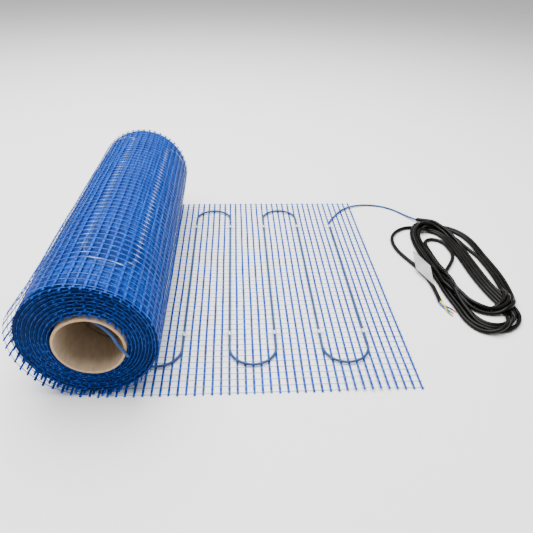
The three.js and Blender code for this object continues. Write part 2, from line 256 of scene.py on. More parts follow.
class Value:
    # A number that varies over a surface: a socket, with sums and products as nodes.
    def __init__(self, finish, socket):
        self.finish, self.socket = finish, socket

    def maths(self, operation, first, second=None):
        inputs = {i: x for i, x in enumerate((first, second)) if x is not None}
        node = self.finish.node("maths", dict(operation=operation), inputs)
        return Value(self.finish, node.outputs[0])

    def __add__(self, other):
        return self.maths("ADD", self, other)

    def __sub__(self, other):
        return self.maths("SUBTRACT", self, other)

    def __rsub__(self, other):
        return self.maths("SUBTRACT", other, self)

    def __mul__(self, other):
        return self.maths("MULTIPLY", self, other)

    __radd__, __rmul__ = __add__, __mul__

    def sine(self):
        return self.maths("SINE", self)

    def fraction(self):
        return self.maths("FRACT", self)

    def size(self):
        return self.maths("ABSOLUTE", self)

    def fade(self, low, high):
        # 0 below low, 1 above high, and even in between
        settings = dict(interpolation_type="LINEAR")
        inputs = {"Value": self, "From Min": low, "From Max": high}
        node = self.finish.node("ShaderNodeMapRange", settings, inputs)
        return Value(self.finish, node.outputs[0])


class Finish:
    # A material with one Principled surface, and the method that adds any other node.
    def __init__(self, name, **fixed):
        self.material = bpy.data.materials.new(name)
        self.material.use_nodes = True
        self.tree = self.material.node_tree
        self.tree.nodes.clear()
        self.surface = self.node("surface", {}, {})
        output = self.node("ShaderNodeOutputMaterial", {}, {})
        self.tree.links.new(self.surface.outputs[0], output.inputs["Surface"])
        for socket, value in fixed.items():
            self.surface.inputs[socket.replace("_", " ")].default_value = value

    def node(self, kind, settings, inputs):
        made = self.tree.nodes.new(bpyNodes.get(kind, kind))
        for setting, value in settings.items():
            if setting == "stops":
                self.setStops(made.color_ramp.elements, value)
            else:
                setattr(made, setting, value)
        for socket, value in inputs.items():
            self.feed(made.inputs[socket], value)
        return made

    def setStops(self, elements, stops):
        while len(elements) < len(stops):
            elements.new(1)
        for element, (position, colour) in zip(elements, stops):
            element.position, element.color = position, (*colour, 1)

    def feed(self, socket, value):
        if isinstance(value, Value):
            self.tree.links.new(value.socket, socket)
        elif isinstance(value, bpy.types.NodeSocket):
            self.tree.links.new(value, socket)
        else:
            socket.default_value = value

    def objectPoint(self, scale=(1, 1, 1), turn=(0, 0, 0), move=(0, 0, 0)):
        source = self.node("coordinates", {}, {}).outputs["Object"]
        inputs = {"Vector": source, "Scale": scale, "Rotation": turn, "Location": move}
        return self.node("mapping", {}, inputs).outputs[0]

    def noise(self, scale, detail=3, roughness=0.5, point=None):
        point = point or self.objectPoint()
        inputs = {"Vector": point, "Scale": scale, "Detail": detail, "Roughness": roughness}
        return Value(self, self.node("noise", {}, inputs).outputs[0])

    def attribute(self, name):
        return Value(self, self.node("attribute", dict(attribute_name=name), {}).outputs["Fac"])

    def axis(self, letter):
        source = self.node("coordinates", {}, {}).outputs["Object"]
        return Value(self, self.node("split", {}, {0: source}).outputs[letter])

    def roundCore(self):
        # the angle round the core's axis, and the place along it
        centre = place((core["x"], 0, core["height"]))
        point = self.objectPoint(move=(-centre[0], 0, -centre[2]))
        x, y, z = (Value(self, part) for part in self.node("split", {}, {0: point}).outputs)
        return z.maths("ARCTAN2", z, x), y

    def ramp(self, value, *stops):
        made = self.node("ramp", dict(stops=stops), {"Fac": value})
        return made.outputs["Color"]

    def blend(self, share, first, second):
        # the first colour where share is 0, the second where it is 1
        first, second = ((*c, 1) if isinstance(c, tuple) else c for c in (first, second))
        inputs = {"Factor": share, 6: first, 7: second}
        made = self.node("mix", dict(data_type="RGBA"), inputs)
        return made.outputs[2]

    def bump(self, height, strength, distance):
        inputs = {"Height": height, "Strength": strength, "Distance": distance}
        self.feed(self.surface.inputs["Normal"], self.node("bump", {}, inputs).outputs[0])

    def set(self, **sockets):
        for socket, value in sockets.items():
            self.feed(self.surface.inputs[socket.replace("_", " ")], value)


def dress(piece, finish):
    piece.data.materials.append(finish.material)
    return piece


def strandFinish():
    # coated blue ribbon: mottled blue, darker in bands at the mesh pitch as painted shade where
    # the threads cross, lengthwise grain
    made = Finish("strandBlue", Specular_IOR_Level=0.25, IOR=1.4)
    broad = made.noise(18, 3)
    fine = made.noise(240, 2)
    # cell: bands of painted shade at the mesh pitch, where the threads lie over the strand
    cell = (made.axis("Y") * (2 * math.pi / meshPitch) + broad * 9).sine()
    shade = made.ramp(
        broad * 0.45 + fine * 0.35 + cell * 0.12 + 0.1,
        (0.25, (0.0, 0.015, 0.15)), (0.5, (0.0, 0.04, 0.31)), (0.75, (0.0, 0.1, 0.55)),
    )
    made.set(Base_Color=shade, Roughness=fine * 0.25 + 0.3)
    made.bump(made.noise(900, 2, 0.6, made.objectPoint((1, 0.15, 1))), 0.35, 0.0002)
    return made


def threadFinish():
    # thin clear thread of the flat sheet, milky with a blue-grey cast
    made = Finish("threadClear", IOR=1.5)
    cloud = made.noise(160, 2)
    shade = made.ramp(cloud, (0.3, (0.14, 0.32, 0.64)), (0.7, (0.42, 0.58, 0.8)))
    made.set(Base_Color=shade, Roughness=cloud * 0.2 + 0.22, Alpha=cloud * 0.4 + 0.4)
    made.bump(made.noise(700, 2), 0.3, 0.0002)
    return made


def rollThreadFinish():
    # the same threads on the roll, tinted by the turns below, with a painted highlight: white
    # where the cable lifts them
    made = Finish("threadTinted", IOR=1.5)
    cloud, fine = made.noise(120, 3), made.noise(500, 2)
    shade = made.ramp(
        cloud * 0.6 + fine * 0.4,
        (0.3, (0.0, 0.045, 0.34)), (0.55, (0.001, 0.1, 0.54)), (0.72, (0.06, 0.26, 0.78)),
    )
    # painted highlight: near white over the cable, where the lifted thread catches the light
    highlightOverCable = made.attribute("overCable") * (fine * 1.5 + 0.25)
    made.set(
        Base_Color=made.blend(highlightOverCable, shade, (0.7, 0.82, 0.95)), Roughness=fine * 0.2 + 0.25,
        Alpha=cloud * 0.3 + 0.68,
    )
    made.bump(fine, 0.3, 0.0002)
    return made


stripesRound = 48  # strands painted round one turn of the deeper mesh


def woundShadeFinish():
    # Deeper turns between the outer ones, in painted shade: two layers of strands and threads,
    # each a stripe pattern of its own shift and darker than their own blue, over near black
    # that paints the shade deep between the turns; the end faces show fine rings, dark with
    # painted shade between them.
    made = Finish("woundPaintedShade", Specular_IOR_Level=0.1)
    turn, y = made.roundCore()
    drift = made.noise(11, 2)
    fine = made.noise(420, 3)
    across = turn * (stripesRound / (2 * math.pi)) + drift * 3
    # near black: painted shade deep between the turns
    shade = made.ramp(fine, (0.3, (0.0, 0.006, 0.05)), (0.7, (0.0, 0.02, 0.13)))
    for shift, strength, colour in (
        (0.3, 0.75, (0.0, 0.02, 0.17)), (0.62, 0.9, (0.0, 0.045, 0.3)),
    ):
        strands = 1 - ((across + shift).fraction() - 0.5).size().fade(0.12, 0.2)
        rows = y * (1 / meshPitch) + drift * 2 + shift * 1.7
        threads = 1 - (rows.fraction() - 0.5).size().fade(0.07, 0.14)
        shade = made.blend(strands * strength, shade, colour)
        shade = made.blend(threads * strength * 0.7, shade, tuple(c * 1.5 for c in colour))
    # end faces: fine rings over near black, painted shade between the turns
    rings = made.noise(1, 4, 0.7, made.objectPoint((60, 900, 60)))
    ends = made.ramp(
        rings * 0.5 + fine * 0.5, (0.35, (0.0, 0.004, 0.03)), (0.65, (0.0, 0.03, 0.16))
    )
    shade = made.blend(made.attribute("ends"), shade, ends)
    made.set(Base_Color=shade, Roughness=fine * 0.3 + 0.4)
    made.bump(fine, 0.8, 0.001)
    return made


def cableFinish():
    # slate-blue jacket, satin, with faint rings where it was coiled
    made = Finish("cableSlate", IOR=1.48, Specular_IOR_Level=0.3)
    along, cloud = made.attribute("along"), made.noise(90, 3)
    scuff = made.noise(700, 2)
    shade = made.ramp(
        cloud * 0.7 + scuff * 0.3,
        (0.3, (0.008, 0.034, 0.12)), (0.55, (0.017, 0.06, 0.19)), (0.75, (0.04, 0.1, 0.26)),
    )
    made.set(Base_Color=shade, Roughness=scuff * 0.25 + 0.32)
    made.bump((along * 1400).sine() * 0.25 + scuff, 0.25, 0.00015)
    return made


def flexFinish():
    # black rubbery sheath: fine matting, dusty patches, and a lay that shows faintly
    made = Finish("flexBlack", IOR=1.5, Specular_IOR_Level=0.13)
    along, around = made.attribute("along"), made.attribute("around")
    dust = made.noise(55, 4, 0.6)
    grain = made.noise(1500, 2)
    lay = (along * 140 + around * 3).sine()
    shade = made.blend(
        dust.fade(0.45, 0.8), (0.0011, 0.001, 0.0009), (0.006, 0.005, 0.0038)
    )
    made.set(Base_Color=shade, Roughness=dust * 0.2 + grain * 0.12 + 0.14)
    made.bump(lay * 0.35 + grain * 0.3, 0.3, 0.0002)
    return made


def cardboardFinish():
    # brown board: fibres, wound bands in a slow helix, paler where the rim is cut
    made = Finish("cardboardBrown")
    turn, y = made.roundCore()
    bands = (turn * (1 / (2 * math.pi)) + y * (1 / 0.105)).fraction()
    seam = bands.fade(0.0, 0.025) * (1 - bands.fade(0.975, 1.0))
    fibre = made.noise(260, 4, 0.65, made.objectPoint((1, 0.25, 1), (0, 0, 0.4)))
    broad = made.noise(14, 3)
    shade = made.ramp(
        fibre * 0.55 + broad * 0.45,
        (0.3, (0.27, 0.195, 0.125)), (0.5, (0.37, 0.275, 0.18)), (0.7, (0.46, 0.36, 0.25)),
    )
    shade = made.blend(1 - seam, shade, (0.2, 0.135, 0.08))
    rim = made.attribute("rim")
    edge = made.ramp(fibre, (0.3, (0.4, 0.235, 0.12)), (0.7, (0.56, 0.36, 0.2)))
    made.set(Base_Color=made.blend(rim, shade, edge), Roughness=fibre * 0.15 + 0.78)
    made.bump(fibre + seam * 1.5 + rim * fibre, 0.5, 0.0003)
    return made


def tapeFinish():
    # milky clear film, with a painted highlight: whiter and more opaque where it rises over the
    # cable
    made = Finish("tapeClear", IOR=1.45)
    lift = made.attribute("lift")
    crease = made.noise(420, 3)
    # painted highlight: lift whitens the film and makes it more opaque over the cable
    shade = made.blend(lift, (0.7, 0.77, 0.86), (0.93, 0.94, 0.96))
    alpha = lift * 0.55 + crease * 0.12 + 0.16
    made.set(Base_Color=shade, Roughness=crease * 0.25 + 0.2, Alpha=alpha)
    made.bump(crease, 0.5, 0.0003)
    return made


def labelFinish():
    # plain vinyl label: off white, faint creases, a little grey at its edges
    made = Finish("labelWhite", IOR=1.46)
    cloud, crease = made.noise(40, 3), made.noise(180, 4, 0.6)
    shade = made.ramp(cloud, (0.3, (0.25, 0.25, 0.26)), (0.7, (0.42, 0.42, 0.42)))
    greyRim = made.blend(made.attribute("edge"), shade, (0.2, 0.19, 0.18))
    made.set(Base_Color=greyRim, Roughness=crease * 0.2 + 0.38)
    made.bump(crease, 0.35, 0.0004)
    return made


def wireFinish(name, colour, stripe=None):
    # glossy core insulation, with a stripe down one side where the wire has two colours
    made = Finish(name, IOR=1.5)
    cloud = made.noise(300, 2)
    shade = made.blend(cloud * 0.5, colour, tuple(c * 0.6 for c in colour))
    if stripe:
        turn = (made.attribute("around") + made.attribute("along") * 120).sine()
        shade = made.blend(turn.fade(-0.08, 0.08), shade, stripe)
    made.set(Base_Color=shade, Roughness=cloud * 0.2 + 0.25)
    made.bump(cloud, 0.15, 0.0001)
    return made


def copperFinish():
    # bare copper, dulled in patches
    made = Finish("copperBare", Metallic=1.0)
    cloud = made.noise(900, 3)
    shade = made.ramp(cloud, (0.3, (0.42, 0.12, 0.05)), (0.7, (0.8, 0.32, 0.16)))
    made.set(Base_Color=shade, Roughness=cloud * 0.3 + 0.2)
    made.bump(cloud, 0.2, 0.0001)
    return made


core = dict(
    bore=76.4, wall=3.2, length=490, setback=5, x=-396.5, height=80, sides=144,
    bevel=0.5, inset=25,
)


# Free cords: the heating cable's tail, its splice, and the flex in its loose turns
tail = dict(
    diameter=3.5,
    route=[
        (-52.4, 410.6, 3.25), (-50.3, 418, 3.25), (-43.4, 430.5, 3.25),
        (-32.4, 447.5, 3.25), (-19.4, 464, 3.25), (-0.2, 478.7, 3.25), (17.7, 485.7, 3),
        (37.3, 488.5, 2.3), (65, 483, 1.9), (86.8, 468.5, 1.9), (103.7, 447.5, 2.3),
        (111.5, 435.3, 3.4), (119, 424, 4.9),
    ],
)
splice = dict(
    start=(119.9, 422.8, 5), way=(28.2, -20, 6), length=34, radius=4, taper=4,
    stages=[(0, 1.95), (1.2, 2.5), (4, 3.8), (6, 4), (28, 4), (30, 3.9), (34, 3.45)],
)
flex = dict(
    diameter=6.6, step=5, rounds=260, follow=0.035, sink=0.35, room=1.02, tightest=31,
    push=0.35, even=0.08, straighten=0.6, pull=0.4, passes=3, lookEvery=8, lookFurther=5,
    # The turns as they lie, from the splice: X, Y and how high each point starts. A point
    # without a height starts on the floor.
    turns=[
        # down the middle, round the low end and up the left side
        (147.2, 403.4, 10.8), (154.5, 395.5, 11), (161, 381, 10.5), (167, 358, 9),
        (172, 330, 5.5), (175.5, 295), (177, 262), (177.8, 228), (181, 196), (187, 170),
        (190.5, 150), (188.5, 130), (179.5, 114.5), (164, 105), (148, 101.5), (134, 102.5),
        (121.5, 109.5), (113.4, 122), (109.5, 140), (107.5, 160), (105, 184), (103.5, 212),
        (103, 246), (100.5, 280), (98.4, 313), (98.8, 346), (101.8, 368, 4), (107, 386, 8),
        (116, 397.5, 9), (128, 399.5, 5),
        # down the right side, back over the others at the low end, up the left on top
        (141, 394), (154, 391.5), (167, 388), (179, 380), (189.5, 364), (195.5, 340),
        (197, 305), (197, 272), (197.5, 238), (197, 206, 4), (192.5, 179, 7),
        (184, 160, 9.9), (170, 147.5, 9.9), (153, 143.5, 7), (136, 149, 6),
        (124.5, 161, 9.5), (117, 184, 9.9), (111, 212, 9.9), (106.5, 246, 9.9),
        (104, 280, 9.9), (101.8, 313, 9.9), (102.4, 346, 9.9), (105.5, 367, 10),
        (111.5, 381, 11), (121.5, 388.5, 9), (132, 388, 6),
        # down the middle on its inner side, low end outermost, up the left outermost
        (141.5, 382), (149.3, 373), (154, 357), (156, 336), (157, 313), (157.3, 285),
        (157.8, 250), (159.5, 218), (163.5, 190), (169, 165), (173, 147), (173.3, 131, 4),
        (168.5, 116, 7.5), (158.5, 104, 9.9), (146.5, 97, 8), (131, 95.5, 4), (118, 100.5),
        (108.8, 111.5), (104.3, 127), (103.3, 146), (101.5, 170), (99.5, 200), (97.5, 240),
        (94, 275), (91.8, 313), (92.8, 346), (97, 368), (103, 387, 5), (110.5, 401, 6),
        (120.5, 407, 5), (132, 403.5),
        # outermost down the right side, up the left on top
        (145, 400), (158, 398), (170.5, 394), (183, 385.5), (195.5, 367), (202.3, 341),
        (203.8, 305), (203.8, 272), (204.4, 238), (204, 205, 4), (199.5, 176, 7),
        (190, 155, 9.9), (176, 141, 9.9), (155, 137, 7), (135.5, 142, 6), (120, 155, 9.9),
        (111, 178, 9.9), (105, 208, 9.9), (100, 246, 9.9), (97, 280, 9.9), (95.2, 313, 9.9),
        (96.5, 346, 9.9), (101, 368, 10), (108, 385, 13), (118, 395, 14), (131, 395.5, 11),
        # down the middle, low end, up inside the left side and back on itself
        (144, 389, 9.5), (154, 379.5, 7), (161, 363, 4), (165.5, 343), (168.5, 318),
        (170, 285), (170.8, 250), (172.5, 216), (177, 188), (182.5, 168), (185, 149),
        (182.5, 133), (174.5, 119.5), (162, 111.5), (148.5, 108.2), (137, 109.3),
        (127, 115.5), (119.8, 127), (116, 143), (114, 162), (111, 184), (109, 206),
        (109, 226), (114, 243), (124.5, 258), (137, 274), (146.5, 290), (150.8, 307),
        (150.5, 325), (145.5, 341), (136.5, 352), (125, 356.5),
        # down the left, innermost at the low end, up beside the right side
        (114.5, 352), (109.8, 338), (109.2, 312), (110, 280), (110.3, 250, 5),
        (110.5, 228, 9), (111, 206, 8), (112.5, 188, 5), (115.5, 173), (122.5, 160),
        (134, 151), (150, 147, 4), (164.5, 150.5, 8), (177, 162.5, 9.9), (186.5, 181, 9),
        (193.5, 208, 8), (199, 236, 9.9), (198.5, 262, 9.9), (194.5, 284, 8),
        (187.5, 306, 4), (180, 328), (173.5, 350), (167, 369), (157.5, 382.5), (146, 387.5),
        (134, 389, 4), (123, 389.5, 6), (113.5, 385, 7),
        # down the left again, up the middle, and out to the left under the others
        (107.3, 374, 5), (104.8, 358), (104.6, 338), (105, 313), (105.6, 280),
        (106.5, 250, 5), (107, 228, 8), (107.5, 206, 9.9), (108.5, 187, 9.9),
        (110, 168, 9.9), (111, 150, 9.9), (114.5, 132, 9.9), (122, 118, 9.9),
        (134, 109.5, 9.9), (148, 106.5, 9.9), (161, 109.5, 8), (171.5, 118, 6), (177, 132),
        (178.8, 148), (175.8, 168), (170.5, 190), (166.5, 216), (164.3, 250), (163.7, 285),
        (163, 317), (161.5, 340), (158, 359), (151, 374), (141.5, 383.5), (129, 388),
        (115.5, 392.5),
        # the last stretch
        (101.2, 395.8), (84.8, 391.8), (64.8, 375), (55.3, 358), (51.8, 336.8),
        (54.9, 312.2), (62.2, 291.4), (71.7, 268.6), (79.8, 243), (83, 212), (82.4, 188),
        (81, 169),
    ],
)


def settleFlex():
    # The cord as a chain of points a fixed step apart. In each round every point sinks
    # and drifts towards its place in the plan, the chain's steps and bends are evened,
    # and points nearer than the diameter push each other apart, so turns come to lie
    # beside and on each other and on the floor.
    floor = flex["diameter"] / 2
    turns = [(x, y, *(height or [floor])) for x, y, *height in flex["turns"]]
    plan = splineThrough(turns, flex["step"])
    points = plan.copy()
    apart = flex["diameter"] * flex["room"]
    links = int(math.ceil(apart * 1.6 / flex["step"]))
    held = np.zeros(len(points), bool)
    held[:2] = held[-2:] = True
    step = np.linalg.norm(np.diff(plan, axis=0), axis=1).mean()
    most = step**2 / (2 * flex["tightest"])
    order = np.arange(len(points))
    for turn in range(flex["rounds"]):
        if turn % flex["lookEvery"] == 0:
            gap = np.linalg.norm(points[:, None] - points[None], axis=2)
            near = (gap < apart + flex["lookFurther"]) & (order[None] - order[:, None] > links)
            one, two = np.nonzero(near)
        points[:, 2] -= flex["sink"] * (1 - turn / flex["rounds"])
        points[:, :2] += flex["follow"] * (plan[:, :2] - points[:, :2])
        for _ in range(flex["passes"]):
            away = points[two] - points[one]
            gap = np.linalg.norm(away, axis=1, keepdims=True)
            push = away / gap * np.clip(apart - gap, 0, None) * flex["push"]
            np.add.at(points, two, push)
            np.add.at(points, one, -push)
            middle = (points[2:] + points[:-2]) / 2 - points[1:-1]
            sag = np.linalg.norm(middle, axis=1, keepdims=True) + 1e-9
            sharp = np.clip(1 - most / sag, 0, 1)
            points[1:-1] += middle * (flex["even"] + flex["straighten"] * sharp)
            along = np.diff(points, axis=0)
            length = np.linalg.norm(along, axis=1, keepdims=True)
            pull = along / length * (length - step) * flex["pull"]
            points[:-1] += pull
            points[1:] -= pull
            points[:, 2] = np.maximum(points[:, 2], floor)
            points[held] = plan[held]
    return points


def lengthOf(path):
    return float(np.linalg.norm(np.diff(path, axis=0), axis=1).sum())


flexPath = settleFlex()
flexLine = splineThrough(flexPath, 3)
flexPiece = tubePiece("coldLead", flexLine, flex["diameter"] / 2, 12)
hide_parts("cold_lead_coil", "cold_lead_end")
gaps = np.linalg.norm(flexPath[:, None] - flexPath[None], axis=2)
gaps[np.abs(np.subtract.outer(np.arange(len(gaps)), np.arange(len(gaps)))) < 4] = 99
print("flex", round(lengthOf(flexLine)), "mm, highest", round(flexPath[:, 2].max(), 1),
      "closest", round(gaps.min(), 2))

tailLine = splineThrough(tail["route"], 3)
tailPiece = tubePiece("cableTail", tailLine, tail["diameter"] / 2)
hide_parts("cable_tail")

spliceWay = unit(np.array(splice["way"], float))
spliceStations = np.array(splice["stages"], float)
splicePath = np.array(splice["start"]) + spliceStations[:, :1] * spliceWay
splicePiece = tubePiece("spliceSleeve", splicePath, spliceStations[:, 1], 24, cap=0.3)
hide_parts("splice_sleeve")

wires = dict(
    diameter=2.5, copperDiameter=1.8, copperLength=6.3, fineWires=7,
    blue=[
        (79.4, 168.2, 2.5), (80.2, 163.5, 2.3), (83, 158, 1.6), (86.5, 153, 1.4),
        (89.3, 149, 1.35),
    ],
    earth=[
        (81, 168.2, 5), (81.9, 163, 4.9), (83.6, 157.5, 4.8), (84.2, 152.5, 4),
        (84.5, 149.5, 2.4), (85.4, 146.2, 1.5), (87, 143, 1.4),
    ],
    brown=[
        (82.6, 168.2, 2.5), (84.3, 163.8, 2.2), (88, 159.5, 1.5), (91.8, 156.8, 1.35),
        (94.6, 152.5, 1.35),
    ],
)


def strandedEnd(name, start, way):
    # Fine wires round a middle one, twisted: each centre turns once in 14 mm.
    along = np.linspace(0, wires["copperLength"], 9)
    fine = wires["copperDiameter"] / 6
    side = unit(np.cross(way, (0, 0, 1)))
    top = np.cross(side, way)
    paths = []
    for i in range(wires["fineWires"]):
        radius = 0 if i == 0 else 2 * fine
        angle = i * math.pi / 3 + along[:, None] * 2 * math.pi / 14
        offset = radius * (np.cos(angle) * side + np.sin(angle) * top)
        paths.append(start + along[:, None] * way + offset)
    paths = np.array(paths)
    outward = np.broadcast_to(top, paths.shape)
    points, quads = bars(paths, outward, 2 * fine, 2 * fine)
    return newPiece(name, points, quads)


onFlex = []
for colour in ("blue", "earth", "brown"):
    line = splineThrough(wires[colour], 0.6)
    wire = tubePiece(colour + "Wire", line, wires["diameter"] / 2, 14, cap=0.15)
    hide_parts(colour + "_wire")
    way = unit(line[-1] - line[-3])
    copper = strandedEnd(colour + "Copper", line[-1], way)
    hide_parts(colour + "_copper")
    onFlex += [wire, copper]

label = dict(
    length=49, width=22.3, shear=-41, corner=(68.2, 252.5, 6.9), turn=-71.2, tilt=19.4,
    thickness=0.3, bow=1.3, columns=40, rows=22,
)


def makeLabel():
    # A slanted sheet: along its length u and across it v, point = corner + u * length
    # + v * (width and slide back), bowed over the flex and a little wavy, with a wall.
    u, v = np.meshgrid(
        np.linspace(0, 1, label["columns"]), np.linspace(0, 1, label["rows"]), indexing="ij"
    )
    turn, tilt = math.radians(label["turn"]), math.radians(label["tilt"])
    long = np.array([math.cos(turn), math.sin(turn), 0])
    level = np.array([-math.sin(turn), math.cos(turn), 0])
    wide = level * math.cos(tilt) + np.array([0, 0, math.sin(tilt)])
    normal = np.cross(long, wide)
    flat = u[..., None] * label["length"] * long + v[..., None] * (
        label["width"] * wide + label["shear"] * long
    )
    bow = label["bow"] * (4 * v * (1 - v)) - 0.5 * np.sin(u * 5 + v * 3) * v
    face = np.array(label["corner"]) + flat + normal * bow[..., None]
    back = face - normal * label["thickness"]
    points = np.concatenate([face.reshape(-1, 3), back.reshape(-1, 3)])
    edge = np.maximum(smooth(np.abs(u - 0.5) * 40 - 19), smooth(np.abs(v - 0.5) * 20 - 9))
    values = {"edge": np.tile(edge.ravel(), 2)}
    return newPiece("labelTag", points, slabFaces(u.shape), values=values)


labelPiece = makeLabel()
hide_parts("label_tag")
print("cords")

# The mesh sheet, flat and wound. Strands run along Y, with clear threads across them.
roll = dict(
    contact=-401, frontRadius=83.6, backRadius=78.6, innerRadius=43, turns=10,
    firstGap=1.9, looseGap=3.2, looseSide=80, looseReach=90, flare=6.5, flareReach=62,
    frontEnds=[3, 3.5, 5, 6, 7, 5.5, 6.5, 6, 5, 4.5],
    backEnds=[1, 2, 3, 5, 6.5, 4.5, 7, 8, 6, 9],
)
strand = dict(width=2.9, height=0.6, level=0.82)
thread = dict(width=1.0, height=0.55, level=0.32)
lift = dict(height=3.2, x=-62, y=-6, width=34, depth=46)
rng = np.random.default_rng(7)


def ripple(a, b, phase):
    # a slow wave of two numbers, from about -1 to 1
    return (
        np.sin(a * 1.0 + b * 0.31 + phase) + np.sin(a * 0.43 - b * 0.9 + 2 * phase)
        + np.sin(a * 1.9 + b * 1.3 + 3 * phase) * 0.6
    ) / 2.6


def rollRadius(y):
    share = y / sheet["width"]
    return roll["frontRadius"] + (roll["backRadius"] - roll["frontRadius"]) * share


def frontLeft(angle):
    # 1 on the roll's left side a little below its middle, and 0 on the right
    return np.clip(np.cos(angle - math.radians(roll["looseSide"])), 0, 1) ** 1.5


def nearFront(y, reach):
    return smooth((reach - y) / reach)


def gapBelowFirst(angle, y):
    # from the outermost turn down to the next, wider at the front's left side
    loose = frontLeft(angle) * nearFront(y, roll["looseReach"])
    return roll["firstGap"] + roll["looseGap"] * loose


def woundRadius(angle, y):
    # The first turn keeps the outer radius and eases in over its last third. The turns
    # below it step evenly down to the core. At the front's left side the outer turns
    # stand apart and flare outwards, less from turn to turn.
    outer = rollRadius(y)
    gap = gapBelowFirst(angle, y)
    spread = roll["flare"] * frontLeft(angle) * nearFront(y, roll["flareReach"])
    outer = outer + spread * np.exp(-angle / 5)
    share = (angle - 2 * math.pi) / (2 * math.pi * (roll["turns"] - 1))
    dense = outer - gap
    below = dense + (roll["innerRadius"] - dense) * np.clip(share, 0, 1)
    first = outer - roll["firstGap"] * smooth((angle - 1.3 * math.pi) / (0.7 * math.pi))
    return np.where(angle < 2 * math.pi, first, below)


def onRoll(angle, y, inward):
    # A point wound through an angle from the line of contact, and its outward vector.
    # Turns run round a centre that moves from the roll's own axis to the core's.
    return aroundCore(angle, y, woundRadius(angle, y), inward)


def aroundCore(angle, y, radius, inward=0):
    outer = rollRadius(y)
    inner = core["bore"] / 2 + core["wall"]
    share = np.clip((radius - inner) / (outer - inner), 0, 1)
    centreX = core["x"] + (roll["contact"] - core["x"]) * share
    centreZ = core["height"] + (outer - core["height"]) * share
    outward = np.stack([-np.sin(angle), np.zeros_like(angle), -np.cos(angle)], -1)
    centre = np.stack([centreX, y, centreZ], -1)
    return centre + outward * (radius - inward)[..., None], outward


def onFloor(x, y, height):
    # A point of the flat stretch, lifted a little near the front right corner.
    near = ((x - lift["x"]) / lift["width"]) ** 2 + ((y - lift["y"]) / lift["depth"]) ** 2
    raised = lift["height"] * np.exp(-near) + 0.25 * (ripple(x / 30, y / 45, 1.0) + 1)
    return np.stack([x, y, height + raised], -1)


def woundAngles():
    # The angle of each strand: distance along the sheet is the sum of radius times angle.
    angle = np.linspace(0, 2 * math.pi * roll["turns"], 8000)
    radius = woundRadius(angle, np.full_like(angle, 250))
    gone = np.concatenate([[0], np.cumsum((radius[1:] + radius[:-1]) / 2 * np.diff(angle))])
    flat = math.floor(-roll["contact"] / sheet["pitch"])
    first = (flat + 1) * sheet["pitch"] + roll["contact"]
    return np.interp(np.arange(first, gone[-1], sheet["pitch"]), gone, angle)


threadY = sheet["firstThread"] + sheet["pitch"] * np.arange(sheet["threadCount"])
strandAngles = woundAngles()


def turnEnds(angle):
    # How far the sheet's two edges lie back at an angle, from the list for each turn. The
    # outer turns are drawn back a little more on the front's left side.
    turn = np.clip(angle / (2 * math.pi), 0, roll["turns"] - 1.001)
    front, back = (
        np.interp(turn, np.arange(roll["turns"]), roll[ends]) for ends in ("frontEnds", "backEnds")
    )
    skew = 5.5 * np.clip(np.cos(angle - math.radians(100)), 0, 1) * np.exp(-angle / 9)
    return front + skew, back


def bulging(angle, y, loose, unevenness=0):
    # how far a turn lies inwards of its place where it is slack
    bulge = loose * (0.6 * ripple(y / 24, angle * 11, 2.0) + unevenness)
    return np.clip(bulge, -0.45, 1.2)


def strandStations(perCell):
    # Places along a strand: its tips, and evenly between the first and last thread.
    inside = np.linspace(threadY[0], threadY[-1], perCell * (len(threadY) - 1) + 1)
    return np.concatenate([[0, 1.8], inside, [sheet["width"] - 2, sheet["width"]]])


def upwards(path):
    return np.broadcast_to((0.0, 0.0, 1.0), path.shape)


def flatStrands():
    count = math.floor(-roll["contact"] / sheet["pitch"]) + 1
    stations = strandStations(4)
    x = -sheet["pitch"] * np.arange(count)[:, None] + rng.normal(0, 0.12, (count, 1))
    y = np.broadcast_to(stations, (count, len(stations))).copy()
    y[:, :2] += rng.uniform(0, 1.1, (count, 1))
    y[:, -2:] -= rng.uniform(0, 1.4, (count, 1))
    x = x + 0.35 * ripple(y / 34, x / 17, 0.4)
    cell = np.cos((y - threadY[0]) * 2 * math.pi / sheet["pitch"])
    path = onFloor(x, y, strand["level"] + 0.07 * cell)
    width = strand["width"] * (1 + 0.1 * ripple(y / 9, x, 2.2) - 0.08 * cell)
    return bars(path, upwards(path), width, strand["height"])


def flatThreads():
    count = math.floor(-roll["contact"] / sheet["pitch"])
    left = -roll["contact"]
    halfCells = np.arange(0, 2 * count + 1) / 2 * sheet["pitch"]
    stations = np.concatenate([[-sheet["overhang"]], halfCells, [left]])
    x = -np.broadcast_to(stations, (len(threadY), len(stations)))
    y = threadY[:, None] + 0.3 * ripple(x / 21, threadY[:, None] / 8, 1.7)
    y = y + rng.normal(0, 0.12, y.shape)
    cell = np.cos(x * 2 * math.pi / sheet["pitch"])
    path = onFloor(x, y, thread["level"] - 0.03 * cell)
    width = thread["width"] * (1 + 0.25 * cell)
    return bars(path, upwards(path), width, thread["height"])


# Heating cable: legs and bends on the sheet, flat and then round the outermost turn
cable = dict(
    diameter=3.5, firstLeg=5, strandsPerBend=6, flatLegs=6, frontApex=47.4, backApex=36.3,
    tailSetback=90, rollAngles=[20, 59, 98, 137.5, 177, 220.5, 264, 307, 349],
    rollFrontApexes=[56, 88, 56, 62], inward=3.25, lastAngle=1.97 * math.pi,
)


def bendShape(fromS, toS, straightY, apexY, count=14):
    # Half an ellipse on the sheet, from one leg's end to the next.
    t = np.linspace(0, math.pi, count)
    s = (fromS + toS) / 2 - (toS - fromS) / 2 * np.cos(t)
    return np.stack([s, straightY + (apexY - straightY) * np.sin(t)], 1)


def legOnSheet(number):
    return sheet["pitch"] * (cable["firstLeg"] + cable["strandsPerBend"] * number)


